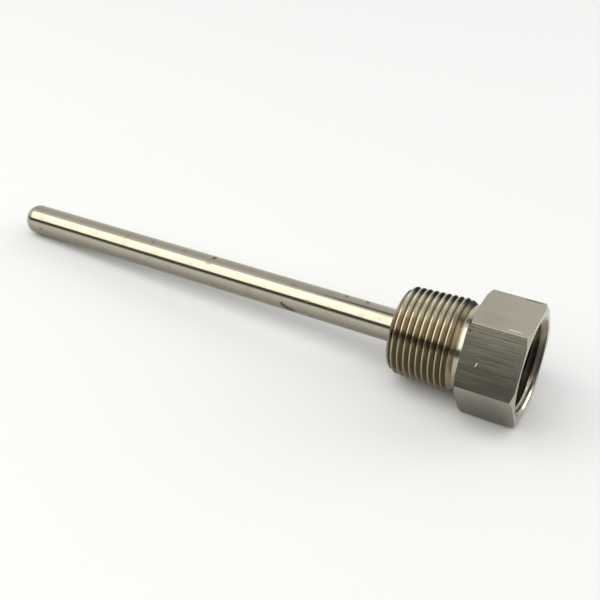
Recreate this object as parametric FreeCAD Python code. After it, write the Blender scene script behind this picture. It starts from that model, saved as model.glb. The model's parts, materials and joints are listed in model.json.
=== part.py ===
import FreeCAD, Part
import math
import os

# A thermowell: a closed stem tube welded into a threaded hexagon fitting.
# Millimetres. Each piece is drawn about its own Z axis, with z = 0 at the open end face
# of the hexagon and z growing towards the closed tip. At the end the whole part is laid
# down as it comes to rest, on one flat of the hexagon and on the tip of the stem.

# Hexagon
hex_across_flats = 30.0
hex_length = 16.0
hex_corner_circle = 32.0
hex_corner_angle = 30.0

# Neck between the hexagon and the taper thread
neck_diameter = 24.0
neck_width = 2.1
neck_cone_length = 2.4

# Taper pipe thread, 14 threads per inch, 60 degree form, measured over its crests
thread_pitch = 25.4 / 14
thread_length = 19.2
thread_taper = 1 / 10
thread_small_diameter = 24.98
thread_half_angle = 30.0
thread_crest_flat = 0.3
thread_overcut = 0.06
thread_start_turn = 0.07
thread_first_gap = 0.1
lead_chamfer = 1.3

# Tapped socket in the hexagon, bored flat to the minor diameter of a parallel pipe thread
socket_minor_diameter = 24.117
socket_mouth_diameter = 27.2
socket_back_wall = 2.5

# Stem tube
stem_diameter = 9.525
stem_wall = 1.24
stem_clearance = 0.1
overall_length = 173.0
tip_radius = 3.5
tip_thickness = 2.2
bore_mouth_chamfer = 0.3
drill_point_angle = 118.0

# Weld bead round the stem
weld_leg = 1.5

# Places worked out from the sizes above
hex_corners = hex_across_flats / math.cos(math.radians(30))
thread_start = hex_length + neck_width
thread_end = thread_start + thread_length
thread_slope = thread_taper / 2
thread_depth = (thread_pitch - thread_crest_flat) / 2 / math.tan(math.radians(thread_half_angle))
fitting_bore = stem_diameter + stem_clearance
stem_bore = stem_diameter - 2 * stem_wall
socket_floor = hex_length - socket_back_wall
axis_direction = FreeCAD.Vector(0, 0, 1)
axis_origin = FreeCAD.Vector(0, 0, 0)


def turned(outline):
    """A solid of revolution about Z. outline is a list of (radius, z) corners."""
    corners = [FreeCAD.Vector(radius, 0, z) for radius, z in outline]
    face = Part.Face(Part.makePolygon(corners + corners[:1]))
    return face.revolve(axis_origin, axis_direction, 360)


def helical_groove(z_start, z_end, root_radius, growth, depth, turn):
    """The solid that a pointed tool sweeps when it cuts one right-hand thread groove.

    The groove's sharp root starts at root_radius and grows by growth for each mm along Z.
    turn is the start angle in turns.
    """
    mouth_radius = root_radius + depth
    half_mouth = depth * math.tan(math.radians(thread_half_angle))
    section = [
        FreeCAD.Vector(root_radius, 0, 0),
        FreeCAD.Vector(mouth_radius, 0, -half_mouth),
        FreeCAD.Vector(mouth_radius, 0, half_mouth),
    ]
    cone_angle = math.degrees(math.atan(growth))
    spine = Part.makeLongHelix(thread_pitch, z_end - z_start, root_radius, cone_angle)
    groove = Part.Wire(spine.Edges).makePipeShell([Part.makePolygon(section + section[:1])], True, True)
    groove.rotate(axis_origin, axis_direction, 360 * turn)
    groove.translate(FreeCAD.Vector(0, 0, z_start))
    return groove


def hexagon():
    """The hexagon with its corners turned back to a cone at both ends."""
    corner_radius = hex_corners / 2
    corners = []
    for corner in range(6):
        angle = math.radians(30 + 60 * corner)
        corners.append(FreeCAD.Vector(corner_radius * math.cos(angle), corner_radius * math.sin(angle), 0))
    prism = Part.Face(Part.makePolygon(corners + corners[:1])).extrude(FreeCAD.Vector(0, 0, hex_length))
    face_radius = hex_corner_circle / 2
    beyond = 1.0
    set_back = (corner_radius + beyond - face_radius) * math.tan(math.radians(hex_corner_angle))
    envelope = turned(
        [
            (0, 0),
            (face_radius, 0),
            (corner_radius + beyond, set_back),
            (corner_radius + beyond, hex_length - set_back),
            (face_radius, hex_length),
            (0, hex_length),
        ]
    )
    return prism.common(envelope)


def shank():
    """The turned neck and the cone that the taper thread is cut on."""
    neck_radius = neck_diameter / 2
    small_radius = thread_small_diameter / 2
    large_radius = small_radius + thread_length * thread_slope
    return turned(
        [
            (0, hex_length / 2),
            (neck_radius, hex_length / 2),
            (neck_radius, thread_start),
            (large_radius - thread_slope * neck_cone_length, thread_start + neck_cone_length),
            (small_radius + thread_slope * lead_chamfer, thread_end - lead_chamfer),
            (small_radius + (thread_slope - 1) * lead_chamfer, thread_end),
            (0, thread_end),
        ]
    )


def taper_thread_groove():
    """The male thread's groove, from the neck to past the small end.

    The tool reaches a little above the crests, and less than would make neighbouring turns
    meet. The first turn runs in the open over the neck, and the cone behind the thread cuts
    the last crest away little by little.
    """
    depth = thread_depth + thread_overcut
    half_mouth = depth * math.tan(math.radians(thread_half_angle))
    z_start = hex_length + thread_first_gap + half_mouth
    root_small = thread_small_diameter / 2 - thread_depth
    root_start = root_small + (thread_end - z_start) * thread_slope
    return helical_groove(
        z_start, thread_end + thread_pitch, root_start, -thread_slope, depth, thread_start_turn
    )


def socket():
    """The socket bored from the end face, its mouth chamfer and the bore for the stem."""
    beyond = 1.0
    mouth_radius = socket_mouth_diameter / 2
    minor_radius = socket_minor_diameter / 2
    bore_radius = fitting_bore / 2
    return turned(
        [
            (0, -beyond),
            (mouth_radius + beyond, -beyond),
            (minor_radius, mouth_radius - minor_radius),
            (minor_radius, socket_floor),
            (bore_radius, socket_floor),
            (bore_radius, thread_end + beyond),
            (0, thread_end + beyond),
        ]
    )


def make_fitting():
    """The threaded hexagon fitting, one turned piece."""
    blank = hexagon().fuse(shank()).removeSplitter()
    return blank.cut(socket()).cut(taper_thread_groove())


def make_stem():
    """The stem tube with its closed, rounded tip and its blind bore."""
    outer = stem_diameter / 2
    inner = stem_bore / 2
    bore_end = overall_length - tip_thickness
    drill_depth = inner / math.tan(math.radians(drill_point_angle / 2))
    corner = tip_radius * math.sin(math.radians(45))
    centre_radius = outer - tip_radius
    centre_z = overall_length - tip_radius
    outline = Part.Wire(
        [
            Part.makeLine((inner + bore_mouth_chamfer, 0, socket_floor), (outer, 0, socket_floor)),
            Part.makeLine((outer, 0, socket_floor), (outer, 0, centre_z)),
            Part.Arc(
                FreeCAD.Vector(outer, 0, centre_z),
                FreeCAD.Vector(centre_radius + corner, 0, centre_z + corner),
                FreeCAD.Vector(centre_radius, 0, overall_length),
            ).toShape(),
            Part.makeLine((centre_radius, 0, overall_length), (0, 0, overall_length)),
            Part.makeLine((0, 0, overall_length), (0, 0, bore_end)),
            Part.makeLine((0, 0, bore_end), (inner, 0, bore_end - drill_depth)),
            Part.makeLine((inner, 0, bore_end - drill_depth), (inner, 0, socket_floor + bore_mouth_chamfer)),
            Part.makeLine(
                (inner, 0, socket_floor + bore_mouth_chamfer), (inner + bore_mouth_chamfer, 0, socket_floor)
            ),
        ]
    )
    return Part.Face(outline).revolve(axis_origin, axis_direction, 360)


def make_weld():
    """The weld bead in the corner between the stem and the thread's end face."""
    root = stem_diameter / 2
    return turned([(root, thread_end), (root + weld_leg, thread_end), (root, thread_end + weld_leg)])


def resting_place():
    """The placement that lays the part on a flat of the hexagon and on the rounded tip.

    The tip's round is a ring of circles of tip_radius about the radius ring_radius. With the
    axis dropped by the angle rest_angle towards the tip, the hexagon's rear lower edge and
    the lowest of those circles are at the same height. The origin goes below the middle of
    the part's box, on the surface it lies on.
    """
    flat_radius = hex_across_flats / 2
    ring_radius = stem_diameter / 2 - tip_radius
    ring_z = overall_length - tip_radius
    along = ring_z - hex_length
    across = flat_radius - ring_radius
    rest_angle = math.atan2(across, along) - math.asin(tip_radius / math.hypot(along, across))
    sine = math.sin(rest_angle)
    cosine = math.cos(rest_angle)
    height = flat_radius * cosine + hex_length * sine
    head_x = flat_radius * sine
    tip_x = -ring_radius * sine - ring_z * cosine - tip_radius
    turn = FreeCAD.Rotation(FreeCAD.Vector(0, 1, 0), -90 - math.degrees(rest_angle))
    return FreeCAD.Placement(FreeCAD.Vector(-(head_x + tip_x) / 2, 0, height), turn)


pieces = {
    "hex_fitting": make_fitting(),
    "stem_tube": make_stem(),
    "root_weld": make_weld(),
}
os.makedirs("parts", exist_ok=True)
place = resting_place()
for name, shape in pieces.items():
    shape.Placement = place.multiply(shape.Placement)
    shape.exportStep("parts/" + name + ".step")
    box = shape.BoundBox
    print(name, shape.isValid(), len(shape.Solids), round(shape.Volume, 1), "mm3")
    print("  x", round(box.XMin, 2), round(box.XMax, 2), "z", round(box.ZMin, 2), round(box.ZMax, 2))
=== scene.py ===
import json
import math

import bmesh
import bpy
import numpy as np
from mathutils import Matrix, Vector


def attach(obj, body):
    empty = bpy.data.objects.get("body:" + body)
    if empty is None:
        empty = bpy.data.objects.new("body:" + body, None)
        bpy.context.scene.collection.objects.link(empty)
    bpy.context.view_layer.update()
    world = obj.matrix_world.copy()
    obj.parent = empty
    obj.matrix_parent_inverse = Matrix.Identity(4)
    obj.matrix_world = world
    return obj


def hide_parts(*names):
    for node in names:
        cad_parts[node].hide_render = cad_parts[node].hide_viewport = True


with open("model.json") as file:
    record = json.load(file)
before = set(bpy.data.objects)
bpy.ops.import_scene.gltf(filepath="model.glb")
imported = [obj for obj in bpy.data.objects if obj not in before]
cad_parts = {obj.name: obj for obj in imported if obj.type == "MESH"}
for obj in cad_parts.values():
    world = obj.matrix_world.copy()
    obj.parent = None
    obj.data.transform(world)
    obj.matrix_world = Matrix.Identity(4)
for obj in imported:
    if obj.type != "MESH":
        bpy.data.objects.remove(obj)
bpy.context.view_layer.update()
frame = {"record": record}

# Stem tube
# A thin stainless steel tube, drawn and polished, with its tip closed and rounded. It is
# welded into the fitting's bore, and the sensor slides down inside it. Small pits and
# brownish stains have come with use, and painted shade darkens its underside.
millimetre = 0.001
mounts = {mount["name"]: mount for mount in frame["record"]["mounts"]}
socket_mount = mounts["instrument_socket"]
bore_mount = mounts["sensor_bore"]
towards_head = Vector(socket_mount["axis"]).normalized()
upwards = Vector((-towards_head.z, 0, towards_head.x))
sideways = Vector((0, 1, 0))

socket_radius = socket_mount["dims"]["r_mm"]
mouth_radius = 13.6
socket_length = socket_mount["dims"]["length_mm"]
socket_floor = mouth_radius - socket_radius + socket_length
socket_middle = socket_floor - socket_length / 2
head_centre = Vector(socket_mount["pos_m"]) + towards_head * socket_middle * millimetre

tube_radius = 9.525 / 2
tube_bore = bore_mount["dims"]["r_mm"]
tube_length = 173.0
tip_round = 3.5
tip_wall = 2.2
drill_angle = math.radians(59)
bore_chamfer = 0.3
mouth_edge = 0.1

# Each pit: distance from the head in mm, angle from straight up in degrees, half its length and
# half its width in mm, and how dark and deep it is, up to 1.
tube_pits = [
    (99.8, 5, 0.65, 0.9, 1.0),
    (89.5, -36, 0.35, 0.25, 0.4),
    (91.0, -31, 0.30, 0.25, 0.3),
    (100.4, -30, 1.10, 0.5, 0.3),
    (73.5, -97, 0.45, 0.8, 1.0),
    (72.8, -104, 0.65, 0.8, 1.0),
    (71.9, -109, 0.85, 0.75, 1.0),
    (70.8, -112, 0.95, 0.75, 1.0),
    (69.8, -115, 0.85, 0.6, 1.0),
    (64.0, -116, 0.60, 0.4, 0.7),
    (65.3, -58, 0.50, 0.25, 0.7),
    (58.3, -59, 0.70, 0.25, 0.6),
    (55.1, 10, 0.60, 0.6, 0.9),
    (48.5, 10, 0.60, 0.6, 0.9),
    (121.9, -11, 0.30, 1.1, 0.45),
    (165.1, -93, 0.60, 0.6, 0.5),
    (112.0, 150, 0.50, 0.4, 0.8),
    (81.0, 95, 0.60, 0.35, 0.8),
]
pit_depth = 0.012


def placed(radius, angle, along):
    """Points of the part from its own round coordinates.

    along is the distance in mm from the head's end face towards the tip, radius the distance
    from the axis, and angle turns about the axis from straight up. The result is in metres,
    head_centre - towards_head * along + radius * (upwards * cos(angle) + sideways * sin(angle)).
    """
    radius, angle, along = np.broadcast_arrays(radius, angle, along)
    across = np.stack([radius * np.cos(angle), radius * np.sin(angle), -along], axis=-1)
    axes = np.array([upwards, sideways, towards_head])
    return across @ axes * millimetre + np.array(head_centre)


def round_mesh(name, radius, angle, along, loop, masks=None, kinds=None):
    """A closed mesh from a grid of round coordinates, rows along the profile by columns round.

    The first and last columns are the same places, and so are rows that shrink to a point or
    to their neighbours, so all doubles are merged and what has no area is dissolved. With
    loop the last row joins the first. masks gives values over the grid that are kept as
    attributes, and kinds gives each row of faces the number of its material.
    """
    merge_distance = 1e-7
    sharp_angle = math.radians(34)
    points = placed(radius, angle, along)
    rows, columns = points.shape[:2]
    number = np.arange(rows * columns).reshape(rows, columns)
    if loop:
        number = np.vstack([number, number[:1]])
    corners = [number[:-1, :-1], number[:-1, 1:], number[1:, 1:], number[1:, :-1]]
    faces = np.stack(corners, axis=-1).reshape(-1, 4)
    mesh = bpy.data.meshes.new(name)
    mesh.from_pydata(points.reshape(-1, 3), [], faces)
    for label, values in (masks or {}).items():
        values = np.broadcast_to(values, (rows, columns)).astype(np.float32)
        mesh.attributes.new(label, "FLOAT", "POINT").data.foreach_set("value", values.ravel())
    if kinds is not None:
        mesh.polygons.foreach_set("material_index", np.repeat(kinds, columns - 1))
    shape = bmesh.new()
    shape.from_mesh(mesh)
    bmesh.ops.remove_doubles(shape, verts=shape.verts, dist=merge_distance)
    bmesh.ops.dissolve_degenerate(shape, dist=merge_distance, edges=shape.edges)
    bmesh.ops.recalc_face_normals(shape, faces=shape.faces)
    shape.to_mesh(mesh)
    shape.free()
    mesh.shade_smooth()
    mesh.set_sharp_from_angle(angle=sharp_angle)
    return mesh


def shown(mesh, node, slot_name, *materials):
    """Puts a finished mesh in the scene in place of its node, with its materials."""
    piece = bpy.data.objects.new(mesh.name, mesh)
    bpy.context.scene.collection.objects.link(piece)
    for material in materials:
        mesh.materials.append(material)
    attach(piece, "root")
    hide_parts(node)


def shader_node(tree, kind, values, **settings):
    """Adds a shader node. values gives its inputs by name or number, as values or sockets."""
    made = tree.nodes.new(kind)
    for name, setting in settings.items():
        setattr(made, name, setting)
    for name, value in values.items():
        if isinstance(value, bpy.types.NodeSocket):
            tree.links.new(value, made.inputs[name])
        else:
            made.inputs[name].default_value = value
    return made


def effect_group(name, inputs, output):
    """An empty shader node group with named inputs and one named output value.

    It gives the group and the sockets inside it: the values that come in and the result.
    """
    group = bpy.data.node_groups.new(name, "ShaderNodeTree")
    for label, default in inputs.items():
        kind = "NodeSocketVector" if default is None else "NodeSocketFloat"
        socket = group.interface.new_socket(label, in_out="INPUT", socket_type=kind)
        if default is not None:
            socket.default_value = default
    group.interface.new_socket(output, in_out="OUTPUT", socket_type="NodeSocketFloat")
    inside_values = group.nodes.new("NodeGroupInput").outputs
    inside_result = group.nodes.new("NodeGroupOutput").inputs
    return group, inside_values, inside_result


# Fine lines from a tool or a polishing belt, long along X and close together across it, a
# value from 0 to 1.
tool_lines, lines_in, lines_out = effect_group(
    "tool_lines", {"Place": None, "Lines per metre": 2500.0, "Breaks per metre": 60.0}, "Lines"
)
lines_scale = shader_node(
    tool_lines,
    "ShaderNodeCombineXYZ",
    {
        0: lines_in["Breaks per metre"],
        1: lines_in["Lines per metre"],
        2: lines_in["Lines per metre"],
    },
)
lines_place = shader_node(
    tool_lines,
    "ShaderNodeVectorMath",
    {0: lines_in["Place"], 1: lines_scale.outputs[0]},
    operation="MULTIPLY",
)
lines_noise = shader_node(
    tool_lines,
    "ShaderNodeTexNoise",
    {"Vector": lines_place.outputs[0], "Scale": 1.0, "Detail": 4.0, "Roughness": 0.62},
)
lines_range = shader_node(
    tool_lines,
    "ShaderNodeMapRange",
    {"Value": lines_noise.outputs["Fac"], "From Min": 0.3, "From Max": 0.7},
)
tool_lines.links.new(lines_range.outputs["Result"], lines_out["Lines"])

# Stains and dull patches from handling, a mask with soft edges. Least and Most are the
# noise at which a patch starts and where it is full.
stain_patches, patches_in, patches_out = effect_group(
    "stain_patches",
    {"Place": None, "Patches per metre": 200.0, "Least": 0.5, "Most": 0.75},
    "Patches",
)
patches_noise = shader_node(
    stain_patches,
    "ShaderNodeTexNoise",
    {
        "Vector": patches_in["Place"],
        "Scale": patches_in["Patches per metre"],
        "Detail": 5.0,
        "Roughness": 0.6,
    },
)
patches_range = shader_node(
    stain_patches,
    "ShaderNodeMapRange",
    {
        "Value": patches_noise.outputs["Fac"],
        "From Min": patches_in["Least"],
        "From Max": patches_in["Most"],
    },
    interpolation_type="SMOOTHSTEP",
)
stain_patches.links.new(patches_range.outputs["Result"], patches_out["Patches"])


def bare_steel(name, colour, roughness):
    """A new bare metal: material, tree, shader and places with X along the part's axis.

    colour and roughness are its plain finish, before patterns take their place.
    """
    material = bpy.data.materials.new(name)
    material.use_nodes = True
    tree = material.node_tree
    shader = tree.nodes["Principled BSDF"]
    shader.inputs["Metallic"].default_value = 1.0
    shader.inputs["Base Color"].default_value = (*colour, 1)
    shader.inputs["Roughness"].default_value = roughness
    coordinates = tree.nodes.new("ShaderNodeTexCoord")
    laid_along = shader_node(
        tree,
        "ShaderNodeMapping",
        {
            "Vector": coordinates.outputs["Object"],
            "Location": tuple(head_centre),
            "Rotation": (0, -math.asin(towards_head.z), 0),
        },
        vector_type="TEXTURE",
    )
    return material, tree, shader, laid_along.outputs["Vector"]


def effect_on(tree, group, **values):
    """An effect group's output in a material, with its own values."""
    made = shader_node(tree, "ShaderNodeGroup", {}, node_tree=group)
    for name, value in values.items():
        socket = made.inputs[name.replace("_", " ")]
        if isinstance(value, bpy.types.NodeSocket):
            tree.links.new(value, socket)
        else:
            socket.default_value = value
    return made.outputs[0]


def blended(tree, share, first, second):
    """Mixes two colours by a mask and gives the mixed colour."""
    mixed = shader_node(tree, "ShaderNodeMix", {0: share, 6: first, 7: second}, data_type="RGBA")
    return mixed.outputs[2]


def raised(tree, mask, share, base):
    """base + mask * share, where base is a number or another mask."""
    terms = {0: mask, 1: share, 2: base}
    return shader_node(tree, "ShaderNodeMath", terms, operation="MULTIPLY_ADD").outputs[0]


def bumped(tree, shader, height, distance):
    """Puts a height on the surface's normal, distance metres for a height of 1."""
    settings = {"Height": height, "Distance": distance, "Strength": 1.0}
    bump = shader_node(tree, "ShaderNodeBump", settings)
    tree.links.new(bump.outputs["Normal"], shader.inputs["Normal"])


steel_colour = (0.425, 0.399, 0.316)
stain_brown = (0.29, 0.235, 0.15, 1)
tube_underside_shade = (0.13, 0.115, 0.085, 1)
pit_colour = (0.06, 0.045, 0.03, 1)
tube_roughness = 0.07
tube_shade_top = 0.0014
tube_shade_bottom = -0.0024
tube_shade_share = 0.7
tube_line_height = 3e-6

tube_steel, tree, shader, place = bare_steel("tube_polished_steel", steel_colour, 0.13)
patches = effect_on(tree, stain_patches, Place=place, Patches_per_metre=240.0, Least=0.5, Most=0.85)
specks = effect_on(tree, stain_patches, Place=place, Patches_per_metre=1500.0, Least=0.62, Most=0.8)
lines = effect_on(tree, tool_lines, Place=place, Lines_per_metre=1800.0, Breaks_per_metre=25.0)
pits = shader_node(tree, "ShaderNodeAttribute", {}, attribute_name="pits").outputs["Fac"]
colour = blended(tree, raised(tree, patches, 0.7, 0.0), (*steel_colour, 1), stain_brown)
colour = blended(tree, raised(tree, specks, 0.35, 0.0), colour, stain_brown)
# Painted shade: the tube's colour darkens towards its underside.
height_up = shader_node(tree, "ShaderNodeSeparateXYZ", {0: place}).outputs[2]
tube_shade_below = shader_node(
    tree,
    "ShaderNodeMapRange",
    {"Value": height_up, "From Min": tube_shade_top, "From Max": tube_shade_bottom, "To Max": tube_shade_share},
    interpolation_type="SMOOTHSTEP",
).outputs[0]
colour = blended(tree, tube_shade_below, colour, tube_underside_shade)
colour = blended(tree, pits, colour, pit_colour)
tree.links.new(colour, shader.inputs["Base Color"])
roughness = raised(tree, lines, 0.08, raised(tree, patches, 0.12, tube_roughness))
tree.links.new(raised(tree, pits, 0.4, roughness), shader.inputs["Roughness"])
bumped(tree, shader, lines, tube_line_height)

# The tube's rows stand closer together where a pit is, and each pit is the hollow
# strength * exp(-reach ** 1.4), with reach a ragged ellipse round its centre.
tube_columns = 168
plain_rows = 200
pit_rows = 17
tip_rows = 15
pit_span = 1.2
pit_steepness = 1.4
tube_angles = np.linspace(0, 2 * math.pi, tube_columns + 1)[None, :]
row_places = [np.linspace(socket_floor + 3 * mouth_edge, tube_length - tip_round, plain_rows)]
row_places += [np.linspace(pit[0] - pit_span, pit[0] + pit_span, pit_rows) for pit in tube_pits]
outer_rows = np.unique(np.round(np.concatenate(row_places), 2))
tip_ring = tube_radius - tip_round
drill_depth = tube_bore / math.tan(drill_angle)
tube_profile = [
    (0, tube_length - tip_wall),
    (tube_bore, tube_length - tip_wall - drill_depth),
    (tube_bore, 0.5 * (tube_length + socket_floor)),
    (tube_bore, socket_floor + bore_chamfer),
    (tube_bore + bore_chamfer, socket_floor),
    (tube_radius - mouth_edge, socket_floor),
    (tube_radius, socket_floor + mouth_edge),
]
tube_profile += [(tube_radius, row) for row in outer_rows]
tube_profile += [
    (tip_ring + tip_round * math.cos(turn), tube_length - tip_round + tip_round * math.sin(turn))
    for turn in np.linspace(0, math.pi / 2, tip_rows)[1:]
]
tube_profile += [(0.5 * tip_ring, tube_length), (0, tube_length)]
tube_profile = np.array(tube_profile)
profile_radius = tube_profile[:, :1]
profile_along = tube_profile[:, 1:]
pit_mask = np.zeros((len(tube_profile), tube_columns + 1))
for pit_along, pit_angle, half_length, half_width, strength in tube_pits:
    turned_away = (tube_angles - math.radians(pit_angle) + math.pi) % (2 * math.pi) - math.pi
    off_along = (profile_along - pit_along) / half_length
    off_across = tube_radius * turned_away / half_width
    reach = off_along**2 + off_across**2
    ragged = 1 + 0.25 * np.sin(9 * turned_away * tube_radius + 5 * profile_along)
    pit_mask = np.maximum(pit_mask, strength * np.exp(-((reach * ragged) ** pit_steepness)))
pit_mask = np.where(profile_radius > tube_bore + bore_chamfer, pit_mask, 0)
tube_mesh = round_mesh(
    "stem_tube_polished",
    profile_radius - pit_depth * pit_mask,
    tube_angles,
    profile_along,
    loop=False,
    masks={"pits": pit_mask},
)
shown(tube_mesh, "stem_tube", "tube_steel", tube_steel)

# Threaded hexagon fitting
# One piece turned from drawn hexagon bar: an end face with a chamfered, tapped socket, a
# hexagon for the spanner, a neck, and a taper pipe thread that seals in the pipe or vessel.
# The flats keep the bar's long draw lines, and all the rest has fine lines from the tool.
hex_flat = 15.0
hex_length = 16.0
hex_corner_round = 0.08
corner_circle = 16.0
corner_slope = math.tan(math.radians(30))
neck_radius = 12.0
neck_end = 18.1
shoulder_length = 2.4
pitch = 25.4 / 14
thread_end = 37.3
thread_slope = 1 / 20
thread_flank = math.tan(math.radians(30))
crest_flat = 0.3
crest_wear = 0.035
overcut = 0.06
first_gap = 0.1
thread_turn = 0.07
root_round = 0.03
lead_chamfer = 1.3
crest_small = 24.98 / 2
thread_depth = (pitch - crest_flat) / 2 / thread_flank
root_small = crest_small - thread_depth
crest_large = crest_small + (thread_end - neck_end) * thread_slope
groove_start = hex_length + first_gap + (thread_depth + overcut) * thread_flank
bore_clearance = 0.05
fitting_bore = tube_radius + bore_clearance
socket_root = 26.441 / 2
socket_flank = math.tan(math.radians(27.5))
socket_root_half = 0.1
socket_thread_end = 9.5

# The columns of the grid stand closer together at the hexagon's rounded corners.
half_sector = np.array([0, 0.08, 0.2, 0.42, 0.8, 1.4, 2.4])
half_sector = np.radians(np.concatenate([half_sector, np.linspace(3.6, 30, 16)]))
sector = np.concatenate([half_sector, math.pi / 3 - half_sector[-2:0:-1]])
sector_starts = math.radians(-30) + np.arange(6) * math.pi / 3
fitting_angles = (sector_starts[:, None] + sector[None, :]).ravel()
fitting_angles = np.append(fitting_angles, math.radians(330))
turns = fitting_angles / (2 * math.pi)


def hexagon_radius(angle):
    """Radius of the hexagon's outline, its corners rounded by an arc that meets both flats.

    A flat is hex_flat / cos(angle from its middle), and the arc is the outer side of a circle
    of radius hex_corner_round whose centre is on the line to the corner.
    """
    from_corner = np.abs((angle + math.pi / 3) % (math.pi / 3) - math.pi / 6)
    flat = hex_flat / np.cos(math.pi / 6 - from_corner)
    centre = (hex_flat - hex_corner_round) / math.cos(math.pi / 6)
    reach = hex_corner_round**2 - (centre * np.sin(from_corner)) ** 2
    arc = centre * np.cos(from_corner) + np.sqrt(np.maximum(reach, 0))
    return np.where(reach > 0, np.minimum(flat, arc), flat)


def crest_envelope(along):
    """Radius of the turned blank under the thread: lead chamfer, crest cone, rear cone, neck.

    It is the least of crest cone, lead chamfer and the larger of rear cone and neck, each of
    them a straight line over along.
    """
    cone = crest_small + (thread_end - along) * thread_slope
    lead_foot = crest_small + (thread_slope - 1) * lead_chamfer
    lead = lead_foot + thread_end - along
    rise = (crest_large - thread_slope * shoulder_length - neck_radius) / shoulder_length
    shoulder = neck_radius + (along - neck_end) * rise
    return np.minimum(np.minimum(cone, lead), np.maximum(shoulder, neck_radius))


def thread_radius(along, turn):
    """Radius on the taper thread: the blank, or the pointed groove where it is deeper.

    The groove is root + |along - centre| / thread_flank, where centre follows the helix and
    root the cone. The two meet as -wear * log(exp(-blank / wear) + exp(-groove / wear)),
    which rounds the crest's corners as wear does.
    """
    wave = (along - groove_start) / pitch - turn + thread_turn
    centre = groove_start + pitch * (np.round(wave) + turn - thread_turn)
    root = root_small + (thread_end - centre) * thread_slope
    groove = root + np.maximum(np.abs(along - centre) / thread_flank, root_round)
    groove = np.where(centre >= groove_start, groove, np.inf)
    return -crest_wear * np.logaddexp(-crest_envelope(along) / crest_wear, -groove / crest_wear)


def tapped_radius(along, turn):
    """Radius in the tapped socket: its chamfer and bore, or the groove where it is wider.

    The groove is socket_root - (|along - centre| - socket_root_half) / socket_flank, flat at
    its root, where centre follows the helix as far as the thread is cut.
    """
    wave = along / pitch - turn
    centre = pitch * (np.round(wave) + turn)
    half_mouth = socket_root_half + (socket_root - socket_radius) * socket_flank
    depth = np.maximum(np.abs(along - centre) - socket_root_half, 0) / socket_flank
    groove = np.where(centre <= socket_thread_end - half_mouth, socket_root - depth, 0)
    return np.maximum(np.maximum(mouth_radius - along, socket_radius), groove)


def thread_rows(phases, first, last, start, low, high):
    """Places along the axis that follow the helix, pitch by pitch, held between two ends.

    Row after row the place is start + pitch * (turns + count + phase), with count from first
    to last, so each row keeps to one place on the thread's section all the way round.
    """
    counts = np.arange(first, last)[:, None]
    steps = (counts + phases[None, :]).ravel()
    return np.clip(start + pitch * (turns[None, :] + steps[:, None]), low, high)


# The rows keep to the helix, closer together at the groove's root and at the crest's edges.
crest_edge = 0.5 - crest_flat / 2 / pitch
crest_steps = crest_edge + np.array([-0.06, -0.03, -0.008, 0.012, 0.04])
male_phases = np.concatenate([[0, 0.03, 0.17], crest_steps, [0.5]])
male_phases = np.concatenate([male_phases, 1 - male_phases[-2:0:-1]])
male_start = groove_start - thread_turn * pitch
male_along = thread_rows(
    male_phases, first=-2, last=13, start=male_start, low=neck_end, high=thread_end
)[::-1]
male_radius = thread_radius(male_along, turns[None, :])

# The grooves, the shoulder behind the thread and the lead chamfer are darker and browner.
male_depth = np.clip((crest_envelope(male_along) - male_radius) / thread_depth, 0, 1)
shoulder_fade = 0.4
lead_fade = 0.3
shoulder_end = neck_end + shoulder_length + shoulder_fade
shoulder_share = np.clip((shoulder_end - male_along) / (2 * shoulder_fade), 0, 1)
shoulder_share = shoulder_share * np.clip((male_along - neck_end) / shoulder_fade, 0, 1)
lead_share = np.clip((male_along - thread_end + lead_chamfer) / lead_fade, 0, 1)
male_darker = np.maximum(male_depth, np.maximum(0.95 * shoulder_share, 0.75 * lead_share))

female_phases = np.array([0, 0.055, 0.2, 0.36, 0.4, 0.5])
female_phases = np.concatenate([female_phases, 1 - female_phases[-2:0:-1]])
female_along = thread_rows(
    female_phases, first=-2, last=7, start=0, low=0, high=socket_thread_end
)
female_radius = tapped_radius(female_along, turns[None, :])
female_depth = np.clip((female_radius - socket_radius) / (socket_root - socket_radius), 0, 1)
in_chamfer = mouth_radius - female_along > female_radius - 0.01

# In the socket painted shade is thick on one side, and the chamfer is left without it at the bottom.
# Both places are angles in degrees from straight up.
mouth_shade_middle = 114
mouth_shade_half_width = 25
unshaded_middle = 178
unshaded_half_width = 28
unshaded_edge = 8
degrees_round = np.degrees(fitting_angles)
mouth_shade = np.exp(-(((degrees_round - mouth_shade_middle) / mouth_shade_half_width) ** 4))
chamfer_keeps_shade = np.clip((np.abs(degrees_round - unshaded_middle) - unshaded_half_width) / unshaded_edge, 0, 1)
chamfer_shade = (0.55 + 0.4 * mouth_shade) * chamfer_keeps_shade
female_darkening = np.where(in_chamfer, chamfer_shade, np.maximum(0.3 * female_depth, mouth_shade))

# Each row of the grid: radius, distance along the axis, how soiled and shaded it is, and its material.
outline = hexagon_radius(fitting_angles)
face_edge = np.minimum(outline, corner_circle)
set_back = (outline - face_edge) * corner_slope
every = np.ones_like(fitting_angles)
edge_soft = 0.12
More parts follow.
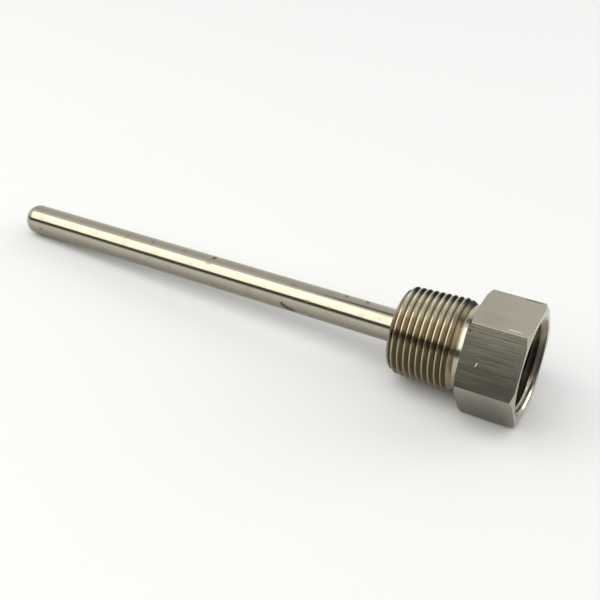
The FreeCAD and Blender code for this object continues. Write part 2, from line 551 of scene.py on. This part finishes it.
# Painted shade on the fitting's underside: darker towards the bottom.
underside_shade = np.clip(0.35 - 1.5 * np.cos(fitting_angles), 0, 1)
neck_shade = 0.35 * underside_shade
turned, flats, threaded, tapped = range(4)
rows = [
    (fitting_bore * every, (thread_end - edge_soft) * every, 0.5, turned),
    ((fitting_bore + edge_soft) * every, thread_end * every, 0.5, turned),
    (0.5 * (fitting_bore + crest_small) * every, thread_end * every, 0.3, turned),
]
rows += [(*row, threaded) for row in zip(male_radius, male_along, male_darker)]
rows += [
    (neck_radius * every, 0.5 * (neck_end + hex_length) * every, neck_shade, turned),
    (neck_radius * every, (hex_length + edge_soft) * every, 0.2 + neck_shade, turned),
    ((neck_radius + edge_soft) * every, hex_length * every, 0.2 + neck_shade, turned),
    (0.5 * (neck_radius + face_edge), hex_length * every, 0, turned),
    (face_edge, hex_length * every, 0, turned),
    (outline, hex_length - set_back, 0, flats),
]
for share in np.linspace(0.05, 0.95, 9):
    across_flat = (1 - share) * (hex_length - set_back) + share * set_back
    rows.append((outline, across_flat, 0, flats))
rows += [
    (outline, set_back, 0, turned),
    (face_edge, 0 * every, 0, turned),
    (0.5 * (mouth_radius + face_edge), 0 * every, 0, turned),
]
rows += [(*row, tapped) for row in zip(female_radius, female_along, female_darkening)]
rows += [
    (socket_radius * every, 0.5 * (socket_thread_end + socket_floor) * every, 0.4, tapped),
    (socket_radius * every, socket_floor * every, 0.6, turned),
    (0.5 * (fitting_bore + socket_radius) * every, socket_floor * every, 0.3, turned),
    (fitting_bore * every, socket_floor * every, 0.4, turned),
    (fitting_bore * every, 0.5 * (socket_floor + thread_end) * every, 0.4, turned),
]
soil_and_shade = np.array([row[2] * every for row in rows])
kinds = np.array([row[3] for row in rows])

# On the top of the thread painted light makes the flanks pale and dull, with black painted
# dark reflections in the grooves just behind it, and painted shade darkens the thread's
# underside. In the socket the upper wall is paler and duller, and the painted shade on one
# side is deepened to black.
outside = (kinds == threaded)[:, None]
lit_top_middle = math.radians(18)
lit_top = outside * np.clip((np.cos(fitting_angles - lit_top_middle) - 0.58) / 0.14, 0, 1)
in_roots = np.clip((soil_and_shade - 0.66) / 0.2, 0, 1)
from_top = np.degrees(fitting_angles + math.pi) % 360 - 180
dark_reflection_middle = 25
dark_reflection_half_width = 22
behind_top = outside * np.exp(-(((from_top - dark_reflection_middle) / dark_reflection_half_width) ** 4))
inside = (kinds == tapped)[:, None]
row_along = np.array([row[1] for row in rows])
past_chamfer = row_along > mouth_radius - socket_radius + 0.1
socket_pale_middle = 60
socket_pale_half_width = 30
socket_pale = np.exp(-(((from_top - socket_pale_middle) / socket_pale_half_width) ** 4))
in_socket_top = inside * past_chamfer * socket_pale
fitting_mesh = round_mesh(
    "hex_fitting_turned",
    np.array([row[0] for row in rows]),
    fitting_angles[None, :],
    row_along,
    loop=True,
    masks={
        "soil_and_shade": soil_and_shade * (1 - lit_top) + in_roots * lit_top + 0.55 * outside * underside_shade,
        "pale_top": np.clip(soil_and_shade * 6, 0, 1) * (1 - in_roots) * lit_top + 0.5 * in_socket_top,
        "painted_dark": np.clip(soil_and_shade * 12 - 0.2, 0, 1) * (behind_top + 0.08 * outside * underside_shade)
        + 0.85 * inside * mouth_shade,
    },
    kinds=kinds,
)


def ring_place(tree, place):
    """Places for lines that run round the axis: distance along it and from it."""
    off_axis = shader_node(
        tree, "ShaderNodeVectorMath", {0: place, 1: (0, 1, 1)}, operation="MULTIPLY"
    ).outputs[0]
    distance = shader_node(tree, "ShaderNodeVectorMath", {0: off_axis}, operation="LENGTH")
    along = shader_node(tree, "ShaderNodeSeparateXYZ", {0: place}).outputs[0]
    joined = {0: 0.0, 1: along, 2: distance.outputs["Value"]}
    return shader_node(tree, "ShaderNodeCombineXYZ", joined).outputs[0]


def spot(tree, place, centre, half_sizes, turn):
    """A mask of one small mark: 1 inside an ellipsoid, falling to 0 at its edge.

    centre and half_sizes are in mm along the part's own axes, and turn is in degrees.
    """
    within = shader_node(
        tree,
        "ShaderNodeMapping",
        {
            "Vector": place,
            "Location": tuple(c * millimetre for c in centre),
            "Rotation": tuple(math.radians(t) for t in turn),
            "Scale": tuple(h * millimetre for h in half_sizes),
        },
        vector_type="TEXTURE",
    ).outputs[0]
    distance = shader_node(tree, "ShaderNodeVectorMath", {0: within}, operation="LENGTH")
    reach = distance.outputs["Value"]
    return shader_node(
        tree,
        "ShaderNodeMapRange",
        {"Value": reach, "From Min": 0.55, "From Max": 1.0, "To Min": 1.0, "To Max": 0.0},
        interpolation_type="SMOOTHSTEP",
    ).outputs[0]


flat_brown = (0.2, 0.18, 0.14, 1)
flats_low_shade = (0.1, 0.09, 0.068, 1)
scratch_and_highlight_colour = (0.95, 0.94, 0.9, 1)
flats_shade_top = 0.008
flats_shade_bottom = -0.012
flats_shade_share = 0.72
flats_roughness = 0.1
draw_line_height = 0.8e-6
flats_steel, tree, shader, place = bare_steel("hexagon_drawn_steel", steel_colour, 0.36)
lines = effect_on(tree, tool_lines, Place=place, Lines_per_metre=4600.0, Breaks_per_metre=60.0)
wide_lines = effect_on(tree, tool_lines, Place=place, Lines_per_metre=1900.0, Breaks_per_metre=40.0)
patches = effect_on(tree, stain_patches, Place=place, Patches_per_metre=170.0, Least=0.45, Most=0.9)
colour = blended(tree, raised(tree, patches, 0.35, 0.0), (*steel_colour, 1), flat_brown)
colour = blended(tree, raised(tree, wide_lines, 0.1, 0.0), colour, flat_brown)
colour = blended(tree, raised(tree, lines, 0.35, 0.0), colour, flat_brown)
# Painted shade: the flats' colour darkens towards the bottom.
height_up = shader_node(tree, "ShaderNodeSeparateXYZ", {0: place}).outputs[2]
flats_shade_below = shader_node(
    tree,
    "ShaderNodeMapRange",
    {
        "Value": height_up,
        "From Min": flats_shade_top,
        "From Max": flats_shade_bottom,
        "To Max": flats_shade_share,
    },
    interpolation_type="SMOOTHSTEP",
).outputs[0]
colour = blended(tree, flats_shade_below, colour, flats_low_shade)

# A bright scratch on the front flat, a painted highlight on a burr near the front edge of the top
# one, a dark nick just below that edge, and a dark strip along the top flat's far edge.
scratch = spot(tree, place, (-11.35, -13.82, 6.07), half_sizes=(0.12, 0.3, 0.95), turn=(-30, 20, 0))
burr_highlight = spot(tree, place, (-4.2, -7.45, 15.0), half_sizes=(2.4, 0.16, 0.3), turn=(0, 0, 0))
nick = spot(tree, place, (-15.2, -9.8, 13.06), half_sizes=(0.45, 0.5, 0.45), turn=(-30, 0, 0))
strip = spot(tree, place, (-4.0, 8.1, 15.0), half_sizes=(3.4, 0.42, 0.3), turn=(0, 0, 0))
bright = shader_node(tree, "ShaderNodeMath", {0: scratch, 1: burr_highlight}, operation="MAXIMUM")
scratch_and_highlight = bright.outputs[0]
dark = shader_node(tree, "ShaderNodeMath", {0: nick, 1: strip}, operation="MAXIMUM")
dark_marks = dark.outputs[0]
colour = blended(tree, scratch_and_highlight, colour, scratch_and_highlight_colour)
colour = blended(tree, raised(tree, dark_marks, 0.6, 0.0), colour, pit_colour)
tree.links.new(colour, shader.inputs["Base Color"])
roughness = raised(tree, lines, 0.15, raised(tree, patches, 0.04, flats_roughness))
tree.links.new(raised(tree, scratch_and_highlight, 0.2, roughness), shader.inputs["Roughness"])
bumped(tree, shader, raised(tree, wide_lines, 0.3, lines), draw_line_height)

turned_soil_and_shade = (0.16, 0.125, 0.085, 1)
turned_roughness = 0.1
ring_height = 4e-6
turned_steel, tree, shader, place = bare_steel("fitting_turned_steel", steel_colour, 0.2)
around_axis = ring_place(tree, place)
rings = effect_on(tree, tool_lines, Place=around_axis, Lines_per_metre=4200.0, Breaks_per_metre=1.0)
patches = effect_on(tree, stain_patches, Place=place, Patches_per_metre=300.0, Least=0.45, Most=0.85)
soil_and_shade = shader_node(tree, "ShaderNodeAttribute", {}, attribute_name="soil_and_shade").outputs["Fac"]
colour = blended(tree, raised(tree, patches, 0.35, 0.0), (*steel_colour, 1), stain_brown)
colour = blended(tree, soil_and_shade, colour, turned_soil_and_shade)
tree.links.new(colour, shader.inputs["Base Color"])
roughness = raised(tree, rings, 0.14, raised(tree, patches, 0.08, turned_roughness))
tree.links.new(raised(tree, soil_and_shade, 0.2, roughness), shader.inputs["Roughness"])
bumped(tree, shader, rings, ring_height)

pale_top_colour = (0.72, 0.68, 0.55, 1)
painted_dark_black = (0.02, 0.018, 0.014, 1)
taper_soil_and_shade = (0.225, 0.17, 0.1, 1)
tapped_soil_and_shade = (0.14, 0.09, 0.055, 1)


def thread_steel(name, soil_and_shade_colour, soil_and_shade_share, dullness, sheen):
    """Steel of a cut thread, with lines round the axis, brown darkening and painted shade, and
    paler dull places that are painted light on the thread's top.

    The soil_and_shade, pale_top and painted_dark attributes say where the brown darkening
    and painted shade, the pale dull places and the black painted shade and painted dark
    reflections lie. dullness is how much the pale places and the darkening hide the metal, and
    sheen is how glossy all that isn't metal is.
    """
    material, tree, shader, place = bare_steel(name, steel_colour, 0.2)
    around_axis = ring_place(tree, place)
    rings = effect_on(tree, tool_lines, Place=around_axis, Lines_per_metre=5200.0, Breaks_per_metre=1.0)
    patches = effect_on(tree, stain_patches, Place=place, Patches_per_metre=420.0, Least=0.3, Most=0.8)
    soil_and_shade = shader_node(tree, "ShaderNodeAttribute", {}, attribute_name="soil_and_shade").outputs["Fac"]
    pale_top = shader_node(tree, "ShaderNodeAttribute", {}, attribute_name="pale_top").outputs["Fac"]
    painted_dark = shader_node(tree, "ShaderNodeAttribute", {}, attribute_name="painted_dark").outputs["Fac"]
    patchy_soil_and_shade = raised(tree, patches, 0.3, soil_and_shade)
    filled = shader_node(
        tree,
        "ShaderNodeMapRange",
        {"Value": patchy_soil_and_shade, "From Min": 0.0, "From Max": 0.8, "To Max": soil_and_shade_share},
        interpolation_type="SMOOTHSTEP",
    ).outputs[0]
    colour = blended(tree, filled, (*steel_colour, 1), soil_and_shade_colour)
    colour = blended(tree, raised(tree, pale_top, 0.8, 0.0), colour, pale_top_colour)
    colour = blended(tree, painted_dark, colour, painted_dark_black)
    tree.links.new(colour, shader.inputs["Base Color"])
    roughness = raised(tree, rings, 0.1, raised(tree, filled, 0.05, 0.1))
    roughness = raised(tree, painted_dark, 0.3, raised(tree, pale_top, 0.35, roughness))
    tree.links.new(roughness, shader.inputs["Roughness"])
    metallic = raised(tree, filled, -0.5 * dullness, raised(tree, pale_top, -dullness, 1.0))
    tree.links.new(raised(tree, painted_dark, -0.95, metallic), shader.inputs["Metallic"])
    shader.inputs["Specular IOR Level"].default_value = sheen
    bumped(tree, shader, rings, ring_height)
    return material


taper_steel = thread_steel("taper_thread_steel", taper_soil_and_shade, soil_and_shade_share=0.7, dullness=0.0, sheen=0.05)
tapped_steel = thread_steel("tapped_socket_steel", tapped_soil_and_shade, soil_and_shade_share=0.85, dullness=0.7, sheen=0.5)
fitting_steels = [turned_steel, flats_steel, taper_steel, tapped_steel]
shown(fitting_mesh, "hex_fitting", "fitting_steel", *fitting_steels)

# Weld bead
# The run of weld that seals the stem to the fitting's thread end, a small fillet with faint
# ripples where the torch moved on round the tube, and a brown tint from its heat.
weld_leg = 1.5
weld_hollow = 0.04
ripple_height = 0.03
ripple_count = 46
ripple_bend = 2.5
weld_straw = (0.45, 0.39, 0.28, 1)
weld_brown = (0.27, 0.21, 0.16, 1)

# The face of the bead runs straight from the fitting to the tube at 45 degrees, moved out by
# (ripple_height * sin(ripple_count * angle + bend) - weld_hollow) * sin(pi * share).
bead_angles = np.linspace(0, 2 * math.pi, 241)[None, :]
bead_share = np.linspace(0, 1, 9)[:, None]
bend = ripple_bend * np.sin(math.pi * bead_share)
ripple = ripple_height * np.sin(ripple_count * bead_angles + bend)
crown = (ripple - weld_hollow) * np.sin(math.pi * bead_share) * math.sqrt(0.5)
bead_radius = tube_radius + weld_leg * (1 - bead_share) + crown
bead_along = thread_end + weld_leg * bead_share + crown
bead_radius = np.vstack([bead_radius, np.full_like(bead_angles, tube_radius)])
bead_along = np.vstack([bead_along, np.full_like(bead_angles, thread_end)])
bead_mesh = round_mesh("root_weld_bead", bead_radius, bead_angles, bead_along, loop=True)
weld_steel, tree, shader, place = bare_steel("weld_tinted_steel", steel_colour, 0.3)
patches = effect_on(tree, stain_patches, Place=place, Patches_per_metre=500.0, Least=0.35, Most=0.7)
tree.links.new(blended(tree, patches, weld_straw, weld_brown), shader.inputs["Base Color"])
tree.links.new(raised(tree, patches, 0.15, 0.22), shader.inputs["Roughness"])
shown(bead_mesh, "root_weld", "weld_steel", weld_steel)

# Floor
# A plain pale floor that keeps the part's soft shadow.
half_floor = 1.2
floor_drop = 0.0001
floor_grey = 0.76
floor_mesh = bpy.data.meshes.new("floor")
floor_signs = [(-1, -1), (1, -1), (1, 1), (-1, 1)]
floor_corners = [(half_floor * x, half_floor * y, -floor_drop) for x, y in floor_signs]
floor_mesh.from_pydata(floor_corners, [], [(0, 1, 2, 3)])
floor = bpy.data.objects.new("floor", floor_mesh)
bpy.context.scene.collection.objects.link(floor)
floor_paint = bpy.data.materials.new("floor_paint")
floor_paint.use_nodes = True
tree = floor_paint.node_tree
floor_shader = tree.nodes["Principled BSDF"]
floor_shader.inputs["Base Color"].default_value = (floor_grey, floor_grey, floor_grey, 1)
floor_shader.inputs["Roughness"].default_value = 0.9
floor_shader.inputs["Specular IOR Level"].default_value = 0.0
floor_mesh.materials.append(floor_paint)

# Lamp and surroundings
# One wide soft box above and in front of the part and a pale card low down at the back right,
# in a pale studio that is dark between the soft box and the floor, with a narrow dark gap
# behind the box except at the far left. Seen directly the background is plain and pale.
box_data = bpy.data.lights.new("soft_box", "AREA")
box_data.shape = "RECTANGLE"
box_data.size = 1.25
box_data.size_y = 1.0
box_data.energy = 6.3
box_data.color = (1.0, 0.995, 0.93)
soft_box = bpy.data.objects.new("soft_box", box_data)
box_height = math.radians(57)
box_distance = 0.9
box_left = 0.48
box_forwards = box_distance * math.cos(box_height)
soft_box.location = (-box_left, -box_forwards, box_distance * math.sin(box_height))
soft_box.rotation_euler = (math.pi / 2 - box_height, 0, 0)
bpy.context.scene.collection.objects.link(soft_box)

card_data = bpy.data.lights.new("side_card", "AREA")
card_data.shape = "RECTANGLE"
card_data.size = 0.5
card_data.size_y = 0.4
card_data.energy = 2.0
card_data.color = (1.0, 0.985, 0.94)
side_card = bpy.data.objects.new("side_card", card_data)
side_card.location = (0.68, 0.52, 0.28)
side_card.rotation_euler = (-side_card.location).to_track_quat("-Z", "Y").to_euler()
bpy.context.scene.collection.objects.link(side_card)

# The studio's brightness changes with the angle over the part, measured in degrees about the
# X axis from the front horizon over the top to the back one.
world = bpy.data.worlds.new("studio")
bpy.context.scene.world = world
world.use_nodes = True
tree = world.node_tree
direction = tree.nodes.new("ShaderNodeTexCoord").outputs["Generated"]
parts = shader_node(tree, "ShaderNodeSeparateXYZ", {0: direction}).outputs
front = shader_node(tree, "ShaderNodeMath", {0: parts[1], 1: -1.0}, operation="MULTIPLY").outputs[0]
over = shader_node(tree, "ShaderNodeMath", {0: parts[2], 1: front}, operation="ARCTAN2").outputs[0]
share = shader_node(tree, "ShaderNodeMath", {0: over, 1: math.pi}, operation="DIVIDE").outputs[0]
bands = shader_node(tree, "ShaderNodeValToRGB", {0: share})
brightest = 1.4
gap_grey = 0.05
wall_grey = 0.77
band_stops = [
    (0, 0.85),
    (3, 0.85),
    (7, 0.12),
    (24, 0.10),
    (27, 0.6),
    (86, 1.35),
    (95, 1.05),
    (104, 0.9),
    (113, 0.78),
    (124, 0.7),
    (165, 0.78),
    (180, 0.84),
]
stops = bands.color_ramp.elements
while len(stops) < len(band_stops):
    stops.new(0.5)
for stop, (degrees, level) in zip(stops, band_stops):
    stop.position = degrees / 180
    stop.color = (level / brightest, level / brightest, level / brightest, 1)
gap = tree.nodes.new("ShaderNodeValToRGB")
tree.links.new(share, gap.inputs["Fac"])
gap_levels = [(98, 0), (102, 0.8), (114, 0.8), (119, 0)]
gap_stops = gap.color_ramp.elements
gap_stops.new(0.5)
gap_stops.new(0.5)
for stop, (degrees, level) in zip(gap_stops, gap_levels):
    stop.position = degrees / 180
    stop.color = (level, level, level, 1)
rightwards = shader_node(
    tree,
    "ShaderNodeMapRange",
    {"Value": parts[0], "From Min": -0.47, "From Max": -0.40},
    interpolation_type="SMOOTHSTEP",
)
darkened = shader_node(
    tree,
    "ShaderNodeMath",
    {0: gap.outputs["Color"], 1: rightwards.outputs["Result"]},
    operation="MULTIPLY",
).outputs[0]
gap_colour = (gap_grey, gap_grey, gap_grey, 1)
surroundings = blended(tree, darkened, bands.outputs["Color"], gap_colour)

# Low down at the back and towards the right stands a pale wall.
pale_wall = shader_node(
    tree,
    "ShaderNodeMapRange",
    {"Value": over, "From Min": math.radians(122), "From Max": math.radians(132)},
    interpolation_type="SMOOTHSTEP",
)
to_right = shader_node(
    tree,
    "ShaderNodeMapRange",
    {"Value": parts[0], "From Min": -0.42, "From Max": -0.12, "To Max": 1.0},
    interpolation_type="SMOOTHSTEP",
)
wall_share = shader_node(
    tree,
    "ShaderNodeMath",
    {0: pale_wall.outputs["Result"], 1: to_right.outputs["Result"]},
    operation="MULTIPLY",
).outputs[0]
surroundings = blended(tree, wall_share, surroundings, (wall_grey, wall_grey, wall_grey, 1))
seen_directly = tree.nodes.new("ShaderNodeLightPath").outputs["Is Camera Ray"]
plain = (0.94 / brightest, 0.94 / brightest, 0.93 / brightest, 1)
background_colour = blended(tree, seen_directly, surroundings, plain)
tree.links.new(background_colour, tree.nodes["Background"].inputs["Color"])
tree.nodes["Background"].inputs["Strength"].default_value = brightest

# Camera
# It looks from the front right and above, as the photograph does.
camera_place = (0.11376, -0.20007, 0.16957)
looking = Vector((-0.3568, 0.7312, -0.5814)).normalized()
camera_up = Vector((-0.3209, 0.4885, 0.8114))
camera_data = bpy.data.cameras.new("camera")
camera_data.sensor_width = 36
camera_data.lens = 55.58
camera = bpy.data.objects.new("camera", camera_data)
bpy.context.scene.collection.objects.link(camera)
camera_right = looking.cross(camera_up).normalized()
camera_up = camera_right.cross(looking)
camera_turn = Matrix((camera_right, camera_up, -looking)).transposed().to_4x4()
camera.matrix_world = Matrix.Translation(camera_place) @ camera_turn
bpy.context.scene.camera = camera
bpy.context.scene.view_settings.view_transform = "Standard"
